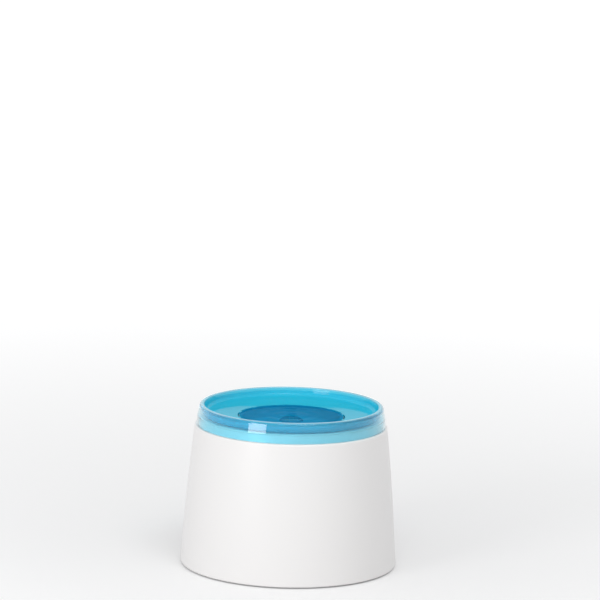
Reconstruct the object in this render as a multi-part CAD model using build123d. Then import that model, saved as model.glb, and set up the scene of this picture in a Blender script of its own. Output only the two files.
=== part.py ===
from build123d import *
from math import cos, radians, sin, sqrt
import os

# Pet water fountain with a submersible pump, in millimetres. The origin is the middle of the
# footprint on the floor, +Z is up and +Y points to the back, where the power socket is.
# Water rises from the pump into a round pool, runs over the pool's edge through a ring of return
# slots and falls through the filter tray back into the tub.

# ---------------------------------------------------------------- clearances
lift_gap = 0.3           # between seats of pieces that come apart by hand
running_gap = 0.05       # radial, where a piece turns on a pin
snug_gap = 0.03          # radial, where a rubber or plastic piece is pushed on
slide_gap = 0.6          # beside the filter tray in the tub

# ---------------------------------------------------------------- outer housing
base_radius = 105.0      # at the lower edge
side_taper = 11.6        # from the lower edge in to the shoulder's corner, before rounding
shoulder_height = 137.6
side_bulge = 1.0         # how far the side bows out from a straight taper
housing_wall = 2.5
shoulder_wall = 2.4
shoulder_round = 1.8
shoulder_step = 4.5      # from the shoulder's corner in to the collar
foot_edge_round = 1.5
edge_height = 1.2        # lower edge above the floor
collar_wall = 2.0
collar_height = 6.8      # above the shoulder
collar_draft = 1.6

# ---------------------------------------------------------------- reservoir tub
tub_floor_height = 10.0  # top of the floor
tub_wall = 2.0
tub_draft = 1.9          # from the floor up to the tray's ledge
tub_ledge_width = 1.9
tub_mouth_draft = 0.6    # from the ledge up to the mouth
tub_corner_round = 7.0
flange_width = 6.9       # from the mouth out to the flange's edge
flange_wall = 1.8
flange_rib_depth = 2.4
flange_rib_wall = 1.4
water_mark_drop = 15.0   # below the ledge
water_mark_width = 1.4
water_mark_depth = 0.5
water_mark_length = 16.0

# ---------------------------------------------------------------- drinking cover
cover_wall = 2.2
skirt_gap = 0.7          # between the skirt's foot and the collar
skirt_band_height = 8.4  # of the nearly straight band round the collar
skirt_band_draft = 0.3   # over that band
skirt_draft = 2.6        # from the skirt's foot up to the rim
rim_width = 4.5
rim_rise = 19.6          # above the housing's shoulder
rim_outer_round = 2.6
rim_inner_round = 0.9
rim_depth = 3.4          # of the solid bead where skirt and dish meet
rim_groove_width = 1.2   # between the skirt and the dish's wall, under the bead
dish_wall_height = 7.7   # of the steep wall under the rim
dish_wall_draft = 1.7
dish_corner_round = 4.0  # from the steep wall into the slope
dish_sag = 0.5           # how far the slope hangs under its chord
dish_depth = 11.0        # from the rim down to the pool
pool_edge_radius = 47.5
land_width = 5.1         # of the level ring round the pool
pan_depth = 11.0
pan_slope = 4.5          # how much narrower the pan's floor is than its mouth
pan_round = 4.0
return_slot_inset = 1.3  # from the ring's outer edge in to the middle of the slots
return_slot_width = 1.7
return_slot_count = 12
return_slot_degrees = 24.0
neck_bore_radius = 7.3
neck_wall = 1.9
neck_rise = 6.5          # above the pan's floor
neck_drop = 2.6          # under the pan

# ---------------------------------------------------------------- bubbler nozzle
nozzle_stem_length = 5.0
nozzle_wall = 1.5
nozzle_cap_radius = 11.8
nozzle_cap_rise = 3.0
nozzle_slot_count = 8
nozzle_slot_width = 1.7
nozzle_eye_radius = 1.6

# ---------------------------------------------------------------- riser tube
riser_bore_radius = 4.6
riser_wall = 1.6
riser_socket_wall = 1.8
riser_socket_length = 11.0
riser_entry = 3.0        # how far it stands inside the cover's neck

# ---------------------------------------------------------------- filter tray
tray_gap = 1.5           # between the tray's sleeve and the cover's neck
tray_head_room = 4.0     # above the grid
tray_floor = 1.8
tray_wall = 1.6
tray_rim = 1.7
tray_sleeve_bore = 7.8
tray_sleeve_wall = 1.5
tray_slot_count = 28
tray_slot_width = 2.6
tray_slot_start = 4.7    # from the sleeve to the slots
tray_slot_end = 6.4      # from the slots to the tray's side
tray_slot_bridge = 3.0   # between the two rings of slots
tray_tab_width = 14.0
tray_tab_wall = 1.6
foam_height = 8.0
carbon_height = 7.6
grid_height = 1.6
layer_gap = 0.3

# ---------------------------------------------------------------- base plate, screws and feet
plate_height = 2.2       # its underside above the floor
plate_wall = 2.2
plate_rib_wall = 1.8
plate_rib_radius = 34.0  # of the inner rib
plate_rib_inset = 10.0   # from the tub's side in to the outer rib
plate_spoke_count = 12
foot_inset = 21.0        # from the housing's lower edge to the middle of the feet
foot_radius = 7.5
foot_depth = 1.3         # how deep it sits in the plate
foot_count = 4
foot_round = 0.9
screw_inset = 15.0       # from the housing's lower edge to the screws
screw_count = 4
screw_head_radius = 3.2
screw_head_height = 2.0
screw_radius = 1.4
screw_length = 11.0
screw_sink = 0.6         # head below the plate's face
screw_slot_width = 0.8
boss_radius = 3.9
boss_web = 2.2
boss_length = 14.0

# ---------------------------------------------------------------- power socket
socket_bore_radius = 2.8
socket_bore_depth = 9.5
socket_neck_radius = 4.9
socket_body_width = 11.0
socket_body_length = 11.0
socket_body_round = 1.2
socket_pin_radius = 1.05
socket_pin_inset = 1.0
socket_nut_flats = 13.0
socket_nut_height = 2.0
socket_washer_radius = 6.6
socket_washer_wall = 0.8
pocket_depth = 3.1       # of the recess in the housing
pocket_width = 19.0
pocket_tall = 18.0
pocket_round = 4.0
pad_wall = 3.0
neck_stand_out = 0.6     # of the socket past its nut

# ---------------------------------------------------------------- pump
cup_height = 5.5         # from the tub's floor up to the pump
pump_wall = 2.2
pump_round = 4.0
well_radius = 7.4
well_wall = 1.2
well_depth = 25.0
well_end_wall = 3.4
well_end_gap = 3.6       # from the well's end to the pump's back
pump_face = 7.3          # y of the joint between motor block and chamber
chamber_radius = 12.4
chamber_wall = 1.7
chamber_foot = 1.8       # from the chamber down to the pump's underside
chamber_front = 7.2      # how far the chamber reaches in front of the riser's axis
plate_inset = 1.7        # the chamber's front plate inside the pump's outline
volute_plate = 1.8
volute_flange = 2.0
eye_radius = 6.2
spider_hub_radius = 3.9
spider_arm = 1.6
spider_count = 3
spigot_bore_radius = 4.4
spigot_radius = 6.0
spigot_rise = 14.0       # above the pump's top
seal_offset = 1.9        # from the chamber's side to the middle of the seal
seal_section = 1.0

# ---------------------------------------------------------------- rotor, shaft and bushes
magnet_gap = 0.8         # to the well's side
magnet_start = 2.0       # behind the joint face
magnet_end_gap = 2.0     # to the well's end
shaft_radius = 1.0
bush_radius = 2.6
bush_length = 2.1
impeller_gap = 1.2       # to the chamber's side
impeller_hub_radius = 3.6
impeller_front_gap = 1.8 # to the chamber's front
impeller_disc = 1.2
impeller_disc_gap = 1.2  # behind its disc, to the joint face
blade_count = 6
blade_wall = 1.3

# ---------------------------------------------------------------- motor
core_length = 14.0
core_setback = 7.7       # from the joint face back to the core
core_leg_width = 5.9
core_pole_gap = 0.3
core_slot_width = 5.0
yoke_thickness = 4.7
coil_thickness = 2.7
motor_top_gap = 0.9      # above the coil
motor_side_gap = 2.3     # beside the core
potting_inset = 1.0

# ---------------------------------------------------------------- intake cover, sponge and dial
intake_length = 21.6
intake_wall = 1.6
intake_overlap = 1.6     # over the chamber's front plate
intake_slot_count = 6
intake_slot_width = 2.0
intake_slot_length = 12.0
window_inner_radius = 4.2
window_outer_radius = 8.2
window_count = 3
window_degrees = 52.0
dial_radius = 9.6
dial_wall = 1.8
dial_knob_height = 2.4
dial_knob_wall = 2.2
dial_pin_radius = 2.2
dial_pin_head_radius = 3.0
dial_pin_head = 0.9
sponge_gap = 0.3

# ---------------------------------------------------------------- suction cups
cup_radius = 6.6
cup_neck_radius = 2.3
cup_stub = 1.4
cup_inset_x = 12.0
cup_inset_y = 8.0

# ---------------------------------------------------------------- pump lead
lead_radius = 1.8
lead_rise = 8.5          # from the pump's underside to where it leaves the motor block
lead_wall_gap = 3.75     # from the tub's wall, where it turns up, to the lead's middle
lead_hump_gap = 7.5      # from the tub's wall at the hump, on either side
lead_hump_drop = 9.0     # below the ledge
lead_bend = 15.0
lead_hump_bend = 5.0
clip_heights = (48.0, 84.0)
clip_height = 6.0
clip_half_width = 3.8
clip_mouth = 2.8
grommet_radius = 4.0
grommet_flange_radius = 5.6
grommet_flange = 1.2


# ================================================================ helpers
def turned(edges):
    """A solid of revolution about Z from the closed outline's edges, given as (radius, height)."""
    return revolve(Plane.XZ * make_face(edges), Axis.Z)


def ring(outer, inner, bottom, top):
    """A plain ring or tube standing on Z."""
    return extrude(Pos(0, 0, bottom) * (Circle(outer) - Circle(inner)), top - bottom)


def disc(radius, bottom, top):
    """A plain disc standing on Z."""
    return extrude(Pos(0, 0, bottom) * Circle(radius), top - bottom)


def along_y(sketch, start, end, height=0.0):
    """A sketch drawn in X and Z, pushed along +Y from start to end."""
    face = Plane(origin=(0, start, height), x_dir=(-1, 0, 0), z_dir=(0, 1, 0)) * sketch
    return extrude(face, end - start)


def block(x_low, x_high, y_low, y_high, z_low, z_high):
    """A box between two corners."""
    size = (x_high - x_low, y_high - y_low, z_high - z_low)
    return Pos((x_low + x_high) / 2, (y_low + y_high) / 2, (z_low + z_high) / 2) * Box(*size)


def around(shape, count, start=0.0):
    """Copies of a shape, evenly turned about Z."""
    return [Rot(0, 0, start + 360 * i / count) * shape for i in range(count)]


def bowed(start, end, bow):
    """An arc between two outline points that bows to the right of the way it runs."""
    length = sqrt((end[0] - start[0]) ** 2 + (end[1] - start[1]) ** 2)
    aside = ((end[1] - start[1]) / length * bow, -(end[0] - start[0]) / length * bow)
    middle = ((start[0] + end[0]) / 2 + aside[0], (start[1] + end[1]) / 2 + aside[1])
    return ThreePointArc(start, middle, end)


def rounded(face, corners):
    """The face with each named corner, (radius, height, rounding), rounded."""
    for x, y, size in corners:
        near = sorted(face.vertices(), key=lambda v: (v.X - x) ** 2 + (v.Y - y) ** 2)
        face = fillet(near[0], size)
    return face


def save(node, *shapes):
    """Write one node's solids."""
    shape = shapes[0] if len(shapes) == 1 else Compound(children=[s.solid() for s in shapes])
    export_step(shape, f"parts/{node}.step")
    return shape


os.makedirs("parts", exist_ok=True)

# ================================================================ places that pieces share
shoulder_radius = base_radius - side_taper
collar_root_radius = shoulder_radius - shoulder_step
collar_tip_radius = collar_root_radius - collar_draft
collar_tip_height = shoulder_height + collar_height

skirt_foot_radius = collar_root_radius + skirt_gap + cover_wall
cover_foot_height = shoulder_height + lift_gap
rim_outer_radius = skirt_foot_radius - skirt_draft
rim_inner_radius = rim_outer_radius - rim_width
rim_height = shoulder_height + rim_rise
dish_wall_foot = (rim_inner_radius - dish_wall_draft, rim_height - dish_wall_height)
pool_height = rim_height - dish_depth
land_radius = pool_edge_radius + land_width
pan_floor_height = pool_height - pan_depth
pan_floor_radius = pool_edge_radius - pan_slope
neck_top = pan_floor_height + neck_rise
neck_bottom = pan_floor_height - cover_wall - neck_drop

sleeve_top = neck_bottom - tray_gap
tray_top = sleeve_top - tray_rim
tray_bottom_height = tray_top - tray_head_room - grid_height - carbon_height - foam_height - tray_floor

tub_flange_top = collar_tip_height + flange_wall
tub_top_radius = collar_tip_radius - flange_width
ledge_outer_radius = tub_top_radius - tub_mouth_draft
tub_ledge_radius = ledge_outer_radius - tub_ledge_width
tub_ledge_height = tray_top - tray_rim - lift_gap
tub_bottom_radius = tub_ledge_radius - tub_draft
tub_bottom = tub_floor_height - tub_wall

plate_top = plate_height + plate_wall
plate_radius = base_radius - housing_wall - lift_gap
foot_circle_radius = base_radius - foot_inset
screw_circle_radius = base_radius - screw_inset
socket_height = plate_top + lift_gap + pad_wall + pocket_tall / 2

pump_bottom_height = tub_floor_height + cup_height
rotor_height = pump_bottom_height + chamber_foot + chamber_wall + chamber_radius
window_half_width = well_radius + well_wall
core_half_width = window_half_width + core_leg_width
yoke_bottom = rotor_height + window_half_width + core_pole_gap + coil_thickness
yoke_top = yoke_bottom + yoke_thickness
pump_top = yoke_top + coil_thickness + motor_top_gap + pump_wall
pump_tall = pump_top - pump_bottom_height
pump_middle = (pump_top + pump_bottom_height) / 2
pump_width = 2 * (core_half_width + motor_side_gap + pump_wall)
pump_back = pump_face + well_depth + well_end_wall + well_end_gap
chamber_face = -chamber_front - volute_plate

riser_radius = riser_bore_radius + riser_wall
riser_top = neck_bottom + riser_entry


def housing_outer_radius(height):
    """Outer radius of the housing's side at a height, with its bow taken as a parabola."""
    part = (height - edge_height) / (shoulder_height - edge_height)
    return base_radius + (shoulder_radius - base_radius) * part + 4 * side_bulge * part * (1 - part)


def tub_inner_radius(height):
    """Inner radius of the tub's lower wall at a height."""
    part = (height - tub_floor_height) / (tub_ledge_height - tub_floor_height)
    return tub_bottom_radius + (tub_ledge_radius - tub_bottom_radius) * part


# ================================================================ outer housing
outer_foot = (base_radius, edge_height)
outer_shoulder = (shoulder_radius, shoulder_height)
inner_foot = (base_radius - housing_wall, edge_height)
inner_shoulder = (shoulder_radius - housing_wall, shoulder_height - shoulder_wall)
collar_root = (collar_root_radius, shoulder_height)
collar_tip = (collar_tip_radius, collar_tip_height)
collar_tip_inner = (collar_tip_radius - collar_wall, collar_tip_height)
collar_root_inner = (collar_root_radius - collar_wall, shoulder_height - shoulder_wall)

housing_outline = make_face([
    bowed(outer_foot, outer_shoulder, side_bulge),
    Line(outer_shoulder, collar_root),
    Line(collar_root, collar_tip),
    Line(collar_tip, collar_tip_inner),
    Line(collar_tip_inner, collar_root_inner),
    Line(collar_root_inner, inner_shoulder),
    bowed(inner_shoulder, inner_foot, -side_bulge),
    Line(inner_foot, outer_foot),
])
housing_outline = rounded(housing_outline, [
    (*outer_shoulder, shoulder_round),
    (*outer_foot, foot_edge_round),
    (*collar_tip, collar_wall / 4),
])
housing_shell = revolve(Plane.XZ * housing_outline, Axis.Z)
housing_envelope = turned([
    Line((0, edge_height), inner_foot),
    bowed(inner_foot, inner_shoulder, side_bulge),
    Line(inner_shoulder, (0, inner_shoulder[1])),
    Line((0, inner_shoulder[1]), (0, edge_height)),
])

screw_seat = plate_height + screw_sink + screw_head_height
boss_bottom = screw_seat + plate_wall
boss_angles = [45 + 360 * i / screw_count for i in range(screw_count)]
boss = Pos(screw_circle_radius, 0, 0) * disc(boss_radius, boss_bottom, boss_bottom + boss_length)
boss += block(screw_circle_radius, base_radius, -boss_web / 2, boss_web / 2,
              boss_bottom, boss_bottom + boss_length)
boss &= housing_envelope
boss_hole = Pos(screw_circle_radius, 0, 0) * disc(screw_radius + snug_gap, boss_bottom,
                                                  screw_seat + screw_length + lift_gap)
for angle in boss_angles:
    housing_shell += Rot(0, 0, angle) * boss
    housing_shell -= Rot(0, 0, angle) * boss_hole

pocket_face = housing_outer_radius(socket_height) - pocket_depth
pad_face = pocket_face - pad_wall
washer_face = pad_face - socket_washer_wall
pad = block(-pocket_width / 2 - pad_wall, pocket_width / 2 + pad_wall, pad_face, base_radius,
            socket_height - pocket_tall / 2 - pad_wall, socket_height + pocket_tall / 2 + pad_wall)
housing_shell += pad & housing_envelope
pocket = along_y(RectangleRounded(pocket_width, pocket_tall, pocket_round), pocket_face,
                 base_radius + pocket_depth, socket_height)
neck_hole = along_y(Circle(socket_neck_radius + running_gap), pad_face - lift_gap,
                    base_radius, socket_height)
outer_housing = housing_shell - pocket - neck_hole
save("outer_housing", outer_housing)

# ================================================================ reservoir tub
# Outline of one moulding: floor, lower wall, ledge for the tray, upper wall and flange on the collar.
flange_radius = collar_tip_radius
rib_radius = collar_tip_radius - collar_wall - lift_gap
tub_outline = make_face(Polyline(
    (0, tub_bottom),
    (tub_bottom_radius + tub_wall, tub_bottom),
    (tub_ledge_radius + tub_wall, tub_ledge_height - tub_wall),
    (ledge_outer_radius + tub_wall, tub_ledge_height - tub_wall),
    (tub_top_radius + tub_wall, collar_tip_height),
    (rib_radius - flange_rib_wall, collar_tip_height),
    (rib_radius - flange_rib_wall, collar_tip_height - flange_rib_depth),
    (rib_radius, collar_tip_height - flange_rib_depth),
    (rib_radius, collar_tip_height),
    (flange_radius, collar_tip_height),
    (flange_radius, tub_flange_top),
    (tub_top_radius, tub_flange_top),
    (ledge_outer_radius, tub_ledge_height),
    (tub_ledge_radius, tub_ledge_height),
    (tub_bottom_radius, tub_floor_height),
    (0, tub_floor_height),
    close=True,
))
tub_outline = rounded(tub_outline, [
    (tub_bottom_radius + tub_wall, tub_bottom, tub_corner_round + tub_wall),
    (tub_bottom_radius, tub_floor_height, tub_corner_round),
    (flange_radius, tub_flange_top, flange_wall / 3),
    (tub_top_radius, tub_flange_top, flange_wall / 3),
])
reservoir_tub = revolve(Plane.XZ * tub_outline, Axis.Z)

water_mark_height = tub_ledge_height - water_mark_drop
mark_outer = tub_inner_radius(water_mark_height) + water_mark_depth
mark = ring(mark_outer, mark_outer - tub_wall, water_mark_height - water_mark_width / 2,
            water_mark_height + water_mark_width / 2)
mark &= block(-water_mark_length / 2, water_mark_length / 2, 0, base_radius,
              tub_floor_height, tub_ledge_height)
for side in (-1, 1):
    reservoir_tub -= Rot(0, 0, 90 * side) * mark

lead_height = pump_bottom_height + lead_rise
lead_wall_y = tub_inner_radius(lead_height) - lead_wall_gap
lead_hump_height = tub_ledge_height - lead_hump_drop
lead_hump_y = tub_inner_radius(lead_hump_height) - lead_hump_gap
lead_outer_y = tub_inner_radius(lead_hump_height) + tub_wall + lead_hump_gap
lead_low_y = washer_face - socket_body_length / 2
lead_points = [
    (pump_back - potting_inset, lead_height),
    (lead_wall_y, lead_height),
    (lead_hump_y, lead_hump_height),
    (lead_outer_y, lead_hump_height),
    (lead_low_y, socket_height + socket_body_width / 2 + 2 * lead_bend),
    (lead_low_y, socket_height + socket_body_width / 2),
]
lead_radii = [lead_bend, lead_hump_bend, lead_hump_bend, lead_bend]


def lead_y_inside(height):
    """Middle of the lead's rising run inside the tub."""
    part = (height - lead_height) / (lead_hump_height - lead_height)
    return lead_wall_y + (lead_hump_y - lead_wall_y) * part


tub_inside = disc(tub_ledge_radius + tub_wall / 2, tub_floor_height, tub_ledge_height)
for height in clip_heights:
    clip_y = lead_y_inside(height)
    clip = block(-clip_half_width, clip_half_width, clip_y - lead_radius - tub_wall / 2,
                 tub_ledge_radius + tub_wall, height - clip_height / 2, height + clip_height / 2)
    clip &= tub_inside
    clip -= Pos(0, clip_y, height) * Cylinder(lead_radius + lift_gap, 2 * clip_height)
    clip -= block(-clip_mouth / 2, clip_mouth / 2, 0, clip_y,
                  height - clip_height, height + clip_height)
    reservoir_tub += clip

grommet_hole = along_y(Circle(grommet_radius + snug_gap), lead_hump_y, lead_outer_y, lead_hump_height)
reservoir_tub -= grommet_hole
save("reservoir_tub", reservoir_tub)

# ================================================================ drinking cover
# One clear moulding: skirt, solid rim, steep wall, slope, level ring with return slots, pan and neck.
skirt_foot_inner = skirt_foot_radius - cover_wall
skirt_band_top = (skirt_foot_radius - skirt_band_draft, cover_foot_height + skirt_band_height)
skirt_band_inner = (skirt_band_top[0] - cover_wall, skirt_band_top[1])
skirt_top_inner = rim_outer_radius - cover_wall
under_rim = rim_height - rim_depth
neck_radius = neck_bore_radius + neck_wall
dish_wall_under = (dish_wall_foot[0] + cover_wall, dish_wall_foot[1] - cover_wall)
cover_outline = make_face([
    Line((skirt_foot_radius, cover_foot_height), skirt_band_top),
    Line(skirt_band_top, (rim_outer_radius, rim_height)),
    Line((rim_outer_radius, rim_height), (rim_inner_radius, rim_height)),
    Line((rim_inner_radius, rim_height), dish_wall_foot),
    bowed(dish_wall_foot, (land_radius, pool_height), -dish_sag),
    Line((land_radius, pool_height), (pool_edge_radius, pool_height)),
    Line((pool_edge_radius, pool_height), (pan_floor_radius, pan_floor_height)),
    Line((pan_floor_radius, pan_floor_height), (neck_radius, pan_floor_height)),
    Line((neck_radius, pan_floor_height), (neck_radius, neck_top)),
    Line((neck_radius, neck_top), (neck_bore_radius, neck_top)),
    Line((neck_bore_radius, neck_top), (neck_bore_radius, neck_bottom)),
    Line((neck_bore_radius, neck_bottom), (neck_radius, neck_bottom)),
    Line((neck_radius, neck_bottom), (neck_radius, pan_floor_height - cover_wall)),
    Line((neck_radius, pan_floor_height - cover_wall),
         (pan_floor_radius + cover_wall / 2, pan_floor_height - cover_wall)),
    Line((pan_floor_radius + cover_wall / 2, pan_floor_height - cover_wall),
         (pool_edge_radius + cover_wall, pool_height - cover_wall)),
    Line((pool_edge_radius + cover_wall, pool_height - cover_wall),
         (land_radius, pool_height - cover_wall)),
    bowed((land_radius, pool_height - cover_wall), dish_wall_under, dish_sag),
    Line(dish_wall_under, (skirt_top_inner - rim_groove_width, under_rim)),
    Line((skirt_top_inner - rim_groove_width, under_rim), (skirt_top_inner, under_rim)),
    Line((skirt_top_inner, under_rim), skirt_band_inner),
    Line(skirt_band_inner, (skirt_foot_inner, cover_foot_height)),
    Line((skirt_foot_inner, cover_foot_height), (skirt_foot_radius, cover_foot_height)),
])
cover_outline = rounded(cover_outline, [
    (rim_outer_radius, rim_height, rim_outer_round),
    (rim_inner_radius, rim_height, rim_inner_round),
    (*dish_wall_foot, dish_corner_round),
    (*dish_wall_under, dish_corner_round + cover_wall),
    (pool_edge_radius, pool_height, cover_wall / 3),
    (pan_floor_radius, pan_floor_height, pan_round),
    (pan_floor_radius + cover_wall / 2, pan_floor_height - cover_wall, pan_round + cover_wall),
    (skirt_foot_radius, cover_foot_height, cover_wall / 4),
])
drinking_cover = revolve(Plane.XZ * cover_outline, Axis.Z)
return_slot_radius = land_radius - return_slot_inset
slot_arc = CenterArc((0, 0), return_slot_radius, -return_slot_degrees / 2, return_slot_degrees)
return_slot = extrude(Pos(0, 0, pool_height - 2 * cover_wall) * SlotArc(slot_arc, return_slot_width),
                      4 * cover_wall)
for slot in around(return_slot, return_slot_count):
    drinking_cover -= slot
save("drinking_cover", drinking_cover)

# ================================================================ bubbler nozzle
nozzle_stem_radius = neck_bore_radius - snug_gap
nozzle_stem_bottom = neck_top - nozzle_stem_length
nozzle_bore = nozzle_stem_radius - nozzle_wall
cap_bottom = neck_top
cap_top = neck_top + nozzle_cap_rise
bubbler_nozzle = turned([
    Line((nozzle_bore, nozzle_stem_bottom), (nozzle_stem_radius, nozzle_stem_bottom)),
    Line((nozzle_stem_radius, nozzle_stem_bottom), (nozzle_stem_radius, cap_bottom)),
    Line((nozzle_stem_radius, cap_bottom), (nozzle_cap_radius, cap_bottom)),
    bowed((nozzle_cap_radius, cap_bottom), (nozzle_eye_radius, cap_top), nozzle_wall),
    Line((nozzle_eye_radius, cap_top), (nozzle_eye_radius, cap_top - nozzle_wall)),
    bowed((nozzle_eye_radius, cap_top - nozzle_wall), (nozzle_bore, cap_bottom), -nozzle_wall / 3),
    Line((nozzle_bore, cap_bottom), (nozzle_bore, nozzle_stem_bottom)),
])
nozzle_slot = block(nozzle_eye_radius + nozzle_wall, nozzle_bore - nozzle_slot_width / 2,
                    -nozzle_slot_width / 2, nozzle_slot_width / 2, cap_bottom, cap_top + nozzle_wall)
for slot in around(nozzle_slot, nozzle_slot_count):
    bubbler_nozzle -= slot
save("bubbler_nozzle", bubbler_nozzle)

# ================================================================ riser tube
spigot_top = pump_top + spigot_rise
riser_foot = spigot_top - riser_socket_length
riser_socket_bore = spigot_radius + snug_gap
riser_socket_radius = riser_socket_bore + riser_socket_wall
riser_tube = turned(Polyline(
    (riser_socket_bore, riser_foot),
    (riser_socket_radius, riser_foot),
    (riser_socket_radius, spigot_top),
    (riser_radius, spigot_top + riser_wall + riser_socket_wall),
    (riser_radius, riser_top),
    (riser_bore_radius, riser_top),
    (riser_bore_radius, spigot_top + snug_gap),
    (riser_socket_bore, spigot_top + snug_gap),
    close=True,
))
save("riser_tube", riser_tube)

# ================================================================ filter tray, foam, carbon and grid
tray_low_radius = tub_inner_radius(tray_bottom_height) - slide_gap
tray_high_radius = tub_inner_radius(tub_ledge_height) - slide_gap
tray_rim_radius = ledge_outer_radius - slide_gap
tray_sleeve_radius = tray_sleeve_bore + tray_sleeve_wall
tray_outline = Polyline(
    (tray_sleeve_bore, tray_bottom_height),
    (tray_low_radius, tray_bottom_height),
    (tray_high_radius, tray_top - tray_rim),
    (tray_rim_radius, tray_top - tray_rim),
    (tray_rim_radius, tray_top),
    (tray_high_radius - tray_wall, tray_top),
    (tray_low_radius - tray_wall, tray_bottom_height + tray_floor),
    (tray_sleeve_radius, tray_bottom_height + tray_floor),
    (tray_sleeve_radius, sleeve_top),
    (tray_sleeve_bore, sleeve_top),
    close=True,
)
filter_tray = turned(tray_outline)
slot_start = tray_sleeve_radius + tray_slot_start
slot_end = tray_low_radius - tray_wall - tray_slot_end
slot_split = (slot_start + slot_end) / 2
tray_slot_rings = [
    (slot_start, slot_split - tray_slot_bridge / 2, tray_slot_count // 2),
    (slot_split + tray_slot_bridge / 2, slot_end, tray_slot_count),
]
for near, far, count in tray_slot_rings:
    slot = block(near, far, -tray_slot_width / 2, tray_slot_width / 2,
                 tray_bottom_height - tray_floor, tray_bottom_height + 2 * tray_floor)
    filter_tray -= around(slot, count)

groove_inner = lead_hump_y - lead_radius - slide_gap
groove_top = tray_top - tray_rim - tray_wall
groove_half_width = grommet_flange_radius + slide_gap


def groove(grow):
    """Space of the lead's groove in the tray's back, grown by a wall or a gap."""
    return block(-groove_half_width - grow, groove_half_width + grow, groove_inner - grow, base_radius,
                 tray_bottom_height - grow, groove_top + grow)


tray_envelope = turned(Polyline(
    (0, tray_bottom_height),
    (tray_low_radius, tray_bottom_height),
    (tray_high_radius, tray_top - tray_rim),
    (0, tray_top - tray_rim),
    close=True,
))
filter_tray += groove(tray_wall) & tray_envelope
filter_tray -= groove(0) - disc(base_radius, groove_top, tray_top + tray_rim)
tab_start = tray_high_radius - tray_wall
grip_tab = block(tab_start, tab_start + tray_tab_wall, -tray_tab_width / 2, tray_tab_width / 2,
                 tray_top - tray_rim, tray_top + 2 * tray_rim)
for tab in around(grip_tab, 2):
    filter_tray += tab
save("filter_tray", filter_tray)


def layer(bottom, height):
    """A round filter layer inside the tray, with its hole and its notch for the lead's groove."""
    outer = tray_low_radius - tray_wall - layer_gap
    shape = ring(outer, tray_sleeve_radius + layer_gap, bottom, bottom + height)
    return shape - groove(tray_wall + layer_gap)


foam_bottom = tray_bottom_height + tray_floor
carbon_bottom = foam_bottom + foam_height
grid_bottom = carbon_bottom + carbon_height
save("foam_pad", layer(foam_bottom, foam_height))
save("carbon_bed", layer(carbon_bottom, carbon_height))
filter_grid = layer(grid_bottom, grid_height)
for near, far, count in tray_slot_rings:
    slot = block(near, far - tray_slot_width, -tray_slot_width / 2, tray_slot_width / 2,
                 grid_bottom - grid_height, grid_bottom + 2 * grid_height)
    filter_grid -= around(slot, count, 180 / tray_slot_count)
save("filter_grid", filter_grid)

# ================================================================ base plate, feet and screws
base_plate = disc(plate_radius, plate_height, plate_top)
outer_rib_radius = tub_bottom_radius - plate_rib_inset
for radius in (plate_rib_radius, outer_rib_radius):
    base_plate += ring(radius + plate_rib_wall, radius, plate_top, tub_bottom)
spoke = block(plate_rib_radius, outer_rib_radius, -plate_rib_wall / 2, plate_rib_wall / 2,
              plate_top, tub_bottom)
for rib in around(spoke, plate_spoke_count, 180 / plate_spoke_count):
    base_plate += rib
foot_top = plate_height + foot_depth
foot_cup = Pos(foot_circle_radius, 0, 0) * disc(foot_radius + plate_wall, plate_height,
                                                foot_top + plate_wall)
foot_seat = Pos(foot_circle_radius, 0, 0) * disc(foot_radius + snug_gap, 0, foot_top)
screw_cup = Pos(screw_circle_radius, 0, 0) * disc(screw_head_radius + plate_wall, plate_height,
                                                  boss_bottom)
screw_well = Pos(screw_circle_radius, 0, 0) * disc(screw_head_radius + lift_gap, 0, screw_seat)
screw_way = Pos(screw_circle_radius, 0, 0) * disc(screw_radius + lift_gap, 0, boss_bottom)
for i in range(foot_count):
    base_plate += Rot(0, 0, 360 * i / foot_count) * foot_cup
for angle in boss_angles:
    base_plate += Rot(0, 0, angle) * screw_cup
for i in range(foot_count):
    base_plate -= Rot(0, 0, 360 * i / foot_count) * foot_seat
for angle in boss_angles:
    base_plate -= Rot(0, 0, angle) * (screw_well + screw_way)
save("base_plate", base_plate)

foot = disc(foot_radius, 0, foot_top)
foot = fillet(foot.edges().group_by(Axis.Z)[0], foot_round)
foot -= disc(foot_radius / 3, 0, foot_round)
save("rubber_feet", *[Rot(0, 0, 360 * i / foot_count) * (Pos(foot_circle_radius, 0, 0) * foot)
                      for i in range(foot_count)])

screw_head_bottom = screw_seat - screw_head_height
screw = disc(screw_head_radius, screw_head_bottom, screw_seat)
screw = fillet(screw.edges().group_by(Axis.Z)[0], screw_head_height / 3)
screw += disc(screw_radius, screw_seat, screw_seat + screw_length)
cross_long = screw_head_radius
screw -= block(-cross_long / 2, cross_long / 2, -screw_slot_width / 2, screw_slot_width / 2,
               screw_head_bottom, screw_head_bottom + screw_head_height / 2)
screw -= block(-screw_slot_width / 2, screw_slot_width / 2, -cross_long / 2, cross_long / 2,
               screw_head_bottom, screw_head_bottom + screw_head_height / 2)
save("base_screws", *[Rot(0, 0, angle) * (Pos(screw_circle_radius, 0, 0) * screw)
                      for angle in boss_angles])

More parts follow.
